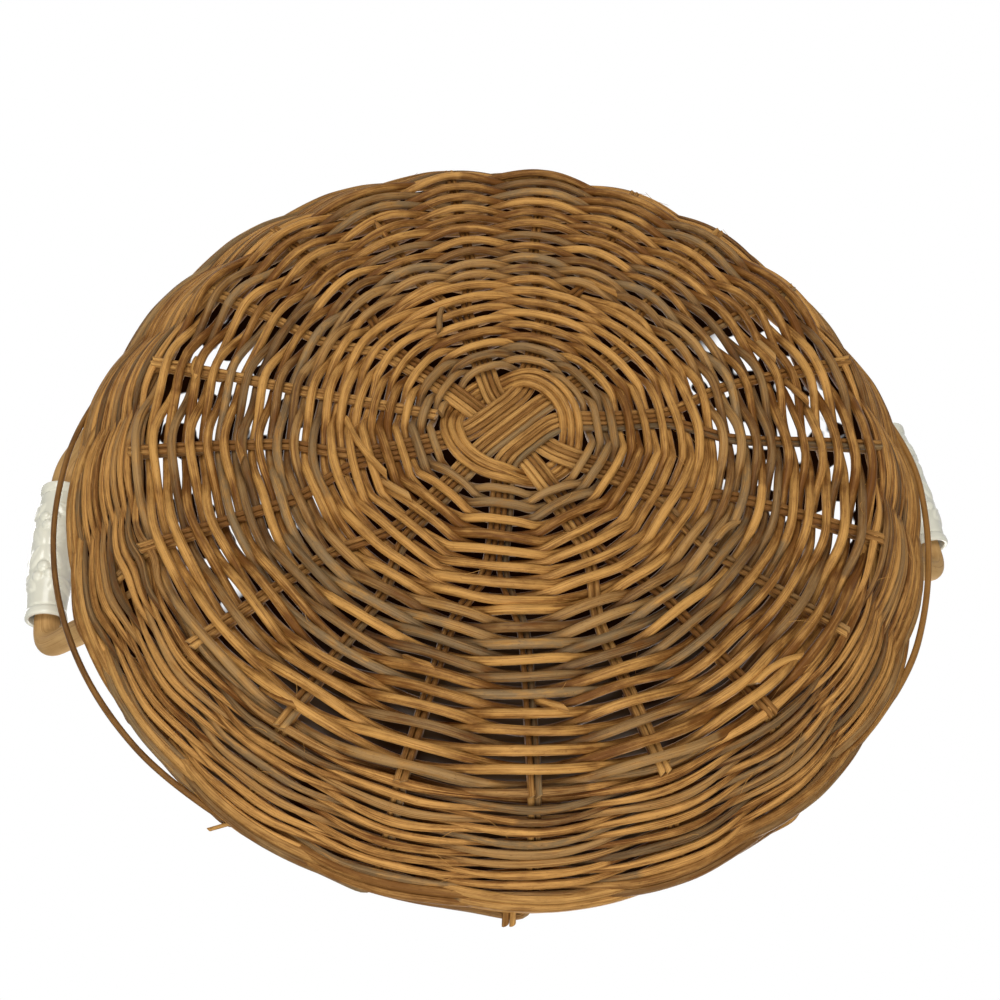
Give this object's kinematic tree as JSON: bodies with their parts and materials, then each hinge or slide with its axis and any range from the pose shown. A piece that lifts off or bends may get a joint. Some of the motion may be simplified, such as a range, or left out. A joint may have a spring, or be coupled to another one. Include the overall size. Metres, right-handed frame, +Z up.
{
  "type": "serving basket",
  "caption": "Round shallow woven cane serving basket with flared sides, a folded border and two bowed handles, each carrying a loose glazed ceramic sleeve.",
  "frame": {"origin": "middle of the base, on the surface that the basket stands on", "axes": "+Z up out of the basket, +X towards the right handle, +Y to the back"},
  "size_m": [0.462, 0.4076, 0.0979],
  "materials": {
    "spoke_cane": "natural cane, dry",
    "weaver_cane": "natural cane, stained",
    "hoop_cane": "natural cane, dark",
    "bow_wood": "bare bent wood",
    "sleeve_glaze": "off-white glaze"
  },
  "bodies": {
    "basket": {"upper_cross_cane_01": "spoke_cane", "upper_cross_cane_02": "spoke_cane", "upper_cross_cane_03": "spoke_cane", "upper_cross_cane_04": "spoke_cane", "upper_cross_cane_05": "spoke_cane", "upper_cross_cane_06": "spoke_cane", "upper_cross_cane_07": "spoke_cane", "upper_cross_cane_08": "spoke_cane", "lower_cross_cane_01": "spoke_cane", "lower_cross_cane_02": "spoke_cane", "lower_cross_cane_03": "spoke_cane", "lower_cross_cane_04": "spoke_cane", "lower_cross_cane_05": "spoke_cane", "lower_cross_cane_06": "spoke_cane", "lower_cross_cane_07": "spoke_cane", "lower_cross_cane_08": "spoke_cane", "lower_cross_cane_09": "spoke_cane", "lower_cross_cane_10": "spoke_cane", "lower_cross_cane_11": "spoke_cane", "lower_cross_cane_12": "spoke_cane", "inserted_cane_01": "spoke_cane", "inserted_cane_02": "spoke_cane", "side_stake_01": "spoke_cane", "side_stake_02": "spoke_cane", "side_stake_03": "spoke_cane", "side_stake_04": "spoke_cane", "side_stake_05": "spoke_cane", "side_stake_06": "spoke_cane", "side_stake_07": "spoke_cane", "side_stake_08": "spoke_cane", "side_stake_09": "spoke_cane", "side_stake_10": "spoke_cane", "side_stake_11": "spoke_cane", "side_stake_12": "spoke_cane", "side_stake_13": "spoke_cane", "side_stake_14": "spoke_cane", "side_stake_15": "spoke_cane", "side_stake_16": "spoke_cane", "side_stake_17": "spoke_cane", "side_stake_18": "spoke_cane", "side_stake_19": "spoke_cane", "side_stake_20": "spoke_cane", "side_stake_21": "spoke_cane", "cross_binding": "weaver_cane", "base_weaver_inner": "weaver_cane", "base_weaver_outer": "weaver_cane", "side_weaver": "weaver_cane", "rim_hoop": "hoop_cane", "right_handle_bow": "bow_wood", "left_handle_bow": "bow_wood"},
    "right_sleeve": {"right_handle_sleeve": "sleeve_glaze"},
    "left_sleeve": {"left_handle_sleeve": "sleeve_glaze"}
  },
  "joints": [
    {"name": "right_sleeve_turn", "type": "hinge", "parent": "basket", "child": "right_sleeve", "pos_m": [0.22197, 0, 0.08673], "axis": [0, 1, 0], "continuous": true},
    {"name": "left_sleeve_turn", "type": "hinge", "parent": "basket", "child": "left_sleeve", "pos_m": [-0.21778, 0, 0.08673], "axis": [0, 1, 0], "continuous": true}
  ]
}
